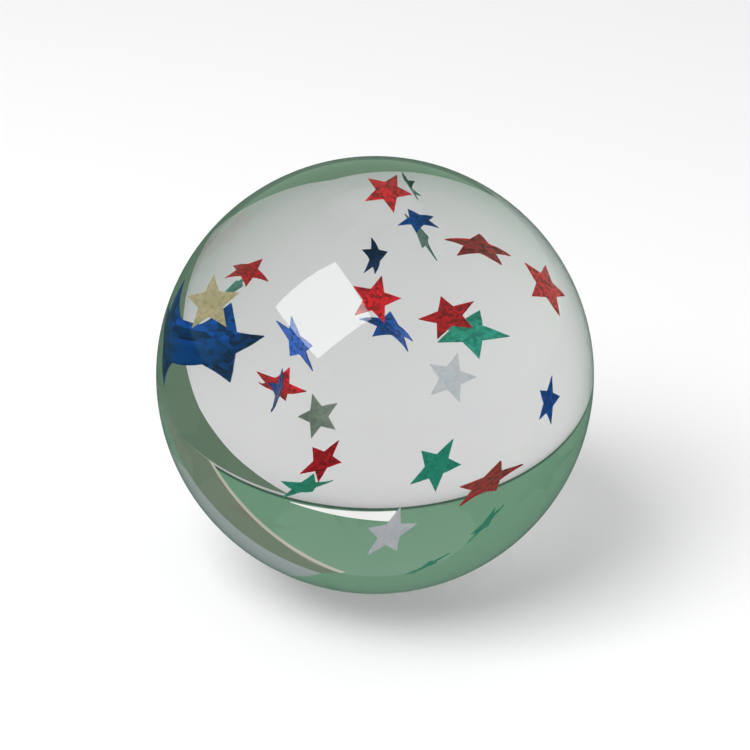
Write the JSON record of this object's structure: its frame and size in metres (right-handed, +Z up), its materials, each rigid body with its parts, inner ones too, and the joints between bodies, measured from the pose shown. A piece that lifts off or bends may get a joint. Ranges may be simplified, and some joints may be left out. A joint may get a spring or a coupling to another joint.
{
  "type": "bouncy ball",
  "caption": "Solid clear rubber bouncy ball with coloured foil stars sealed at different depths inside, pressed from half balls that meet at the middle plane.",
  "frame": {"origin": "middle of the ball", "axes": "+Z up, square to the plane where the half balls meet; the side that faces -Y is the front in the picture"},
  "size_m": [0.045, 0.045, 0.045],
  "materials": {
    "clear_rubber": "clear and glossy",
    "red_foil": "metallised film",
    "blue_foil": "metallised film",
    "green_foil": "metallised film",
    "silver_foil": "metallised film",
    "gold_foil": "metallised film"
  },
  "bodies": {
    "root": {"blue_star_1": "blue_foil", "blue_star_2": "blue_foil", "blue_star_3": "blue_foil", "blue_star_4": "blue_foil", "blue_star_5": "blue_foil", "blue_star_6": "blue_foil", "blue_star_7": "blue_foil", "gold_star_1": "gold_foil", "green_star_1": "green_foil", "green_star_2": "green_foil", "green_star_3": "green_foil", "green_star_4": "green_foil", "green_star_5": "green_foil", "green_star_6": "green_foil", "green_star_7": "green_foil", "green_star_8": "green_foil", "lower_half": "clear_rubber", "red_star_1": "red_foil", "red_star_2": "red_foil", "red_star_3": "red_foil", "red_star_4": "red_foil", "red_star_5": "red_foil", "red_star_6": "red_foil", "red_star_7": "red_foil", "red_star_8": "red_foil", "red_star_9": "red_foil", "silver_star_1": "silver_foil", "silver_star_2": "silver_foil", "silver_star_3": "silver_foil", "upper_half": "clear_rubber"}
  },
  "joints": []
}
